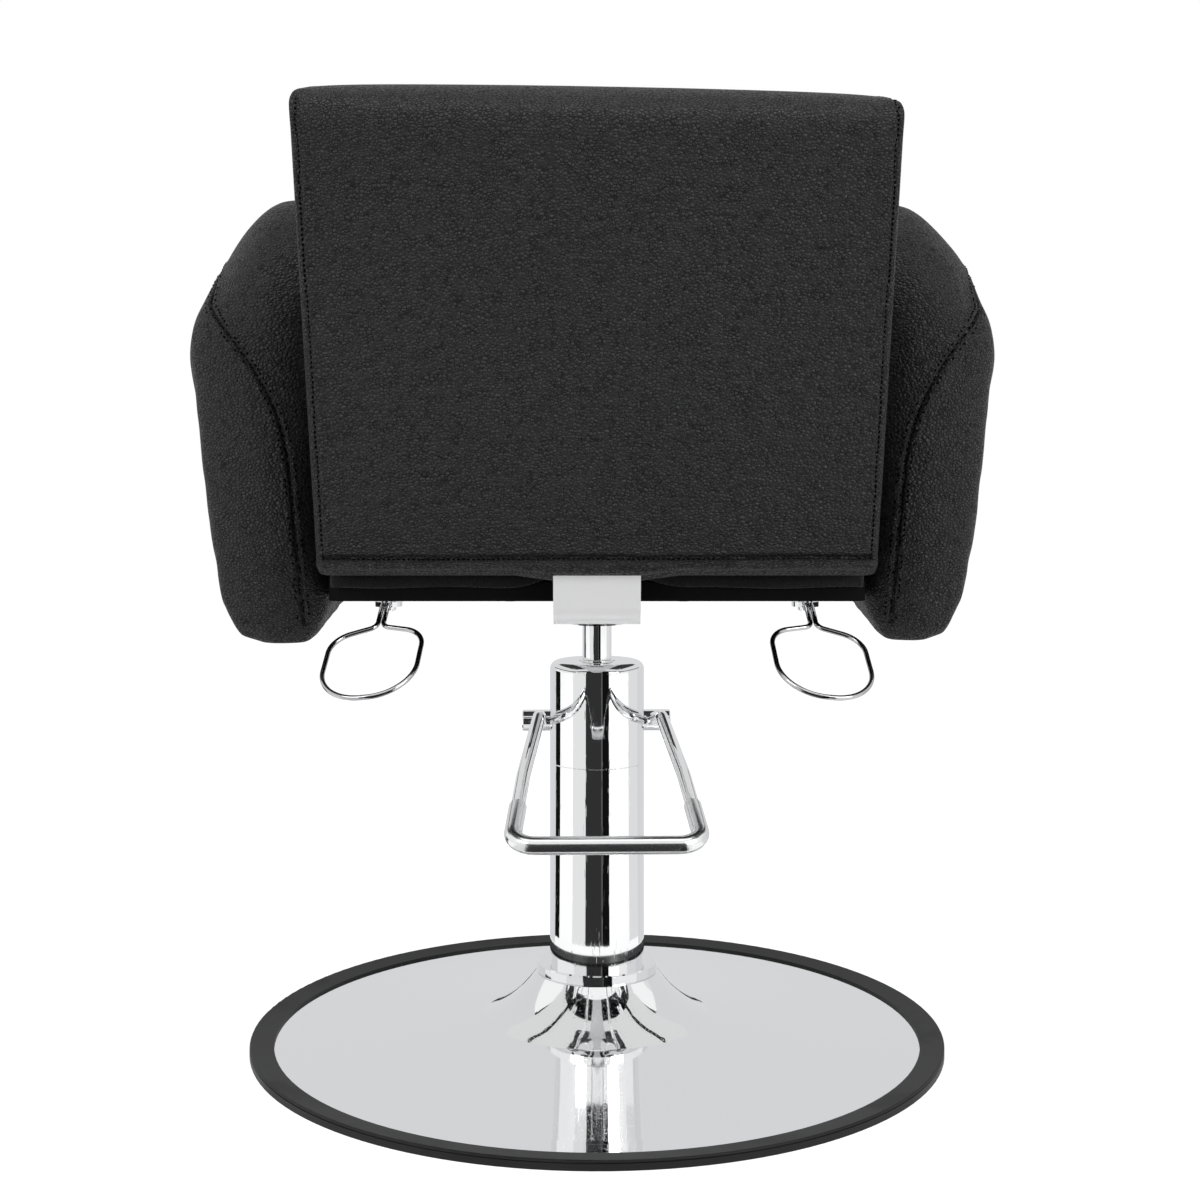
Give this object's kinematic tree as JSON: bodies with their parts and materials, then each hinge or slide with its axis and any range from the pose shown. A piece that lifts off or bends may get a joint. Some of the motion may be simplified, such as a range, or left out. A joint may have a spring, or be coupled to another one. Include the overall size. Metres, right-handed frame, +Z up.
{
  "type": "styling chair",
  "caption": "Padded hydraulic salon chair with upholstered arms and reclined back, chromed pump column with a foot pedal, round base with a rubber edge and wire tool holders.",
  "frame": {"origin": "on the floor, under the column's axis, which is also the middle of the chair's footprint", "axes": "+Z up; the sitter faces -Y, so the back is towards +Y and the sitter's left side is towards +X"},
  "size_m": [0.6374, 0.6358, 0.7967],
  "materials": {
    "black_leather": "pebbled artificial leather, semi-matt",
    "chrome": "polished chrome plate",
    "rubber_edge": "smooth moulded rubber",
    "seal_rubber": "smooth",
    "cast_iron": "as cast",
    "painted_steel": "black powder coat",
    "bare_steel": "machined",
    "zinc_fasteners": "zinc plate",
    "bronze": "machined",
    "plywood": "raw",
    "plywood_black": "black lining"
  },
  "bodies": {
    "base": {"base_dish": "chrome", "base_rubber_ring": "rubber_edge", "base_weight": "cast_iron", "base_bolts": "zinc_fasteners", "base_flange": "chrome", "lower_shroud": "chrome", "upper_shroud": "chrome", "pump_reservoir": "painted_steel", "pump_cylinder": "bare_steel", "pump_head": "cast_iron", "guide_bush": "bronze", "rod_seal": "seal_rubber", "gland_collar": "chrome", "cap_screw": "zinc_fasteners", "plunger_barrel": "bare_steel"},
    "ram": {"piston": "bare_steel", "piston_seal": "seal_rubber", "thrust_washer": "bronze"},
    "seat": {"post": "chrome", "seat_hub": "chrome", "carrier_bar": "chrome", "seat_plate": "painted_steel", "plate_bolts": "zinc_fasteners", "seat_board": "plywood_black", "seat_cushion": "black_leather", "back_board": "plywood", "back_screws": "zinc_fasteners", "back_pad": "black_leather", "back_cover": "black_leather", "arm_bolts": "zinc_fasteners", "holder_screws": "zinc_fasteners", "arm_pad_left": "black_leather", "arm_panel_left": "plywood", "holder_plate_left": "chrome", "holder_pivot_left": "chrome", "arm_pad_right": "black_leather", "arm_panel_right": "plywood", "holder_plate_right": "chrome", "holder_pivot_right": "chrome"},
    "pedal": {"pedal_shaft": "chrome", "pedal_leg_left": "chrome", "pedal_leg_right": "chrome", "pedal_bar": "chrome", "pump_rocker": "bare_steel"},
    "plunger": {"pump_plunger": "bare_steel", "plunger_spring": "bare_steel"},
    "holder_left": {"holder_disc_left": "chrome", "holder_wire_left": "chrome"},
    "holder_right": {"holder_disc_right": "chrome", "holder_wire_right": "chrome"}
  },
  "joints": [
    {"name": "seat_lift", "type": "slide", "parent": "base", "child": "ram", "axis": [0, 0, 1], "range_m": [0, 0.14]},
    {"name": "seat_swivel", "type": "hinge", "parent": "ram", "child": "seat", "pos_m": [0, 0, 0.4], "axis": [0, 0, 1], "continuous": true},
    {"name": "pedal_press", "type": "hinge", "parent": "base", "child": "pedal", "pos_m": [0.00068, -0.02599, 0.277], "axis": [-0.9997, -0.0262, 0], "range_deg": [0, 25], "stiffness_Nm_per_rad": 4, "springref_deg": -45.84},
    {"name": "plunger_stroke", "type": "slide", "parent": "base", "child": "plunger", "axis": [0, 0, -1], "range_m": [0, 0.0165], "deforming": ["plunger_spring"]},
    {"name": "holder_left_swing", "type": "hinge", "parent": "seat", "child": "holder_left", "pos_m": [0.169, 0.15, 0.399], "axis": [0, 0, 1], "range_deg": [0, 80]},
    {"name": "holder_right_swing", "type": "hinge", "parent": "seat", "child": "holder_right", "pos_m": [-0.169, 0.15, 0.399], "axis": [0, 0, -1], "range_deg": [0, 80]}
  ],
  "couplings": [
    {"joint": "plunger_stroke", "follows": "pedal_press", "m_per_rad": 0.037}
  ]
}
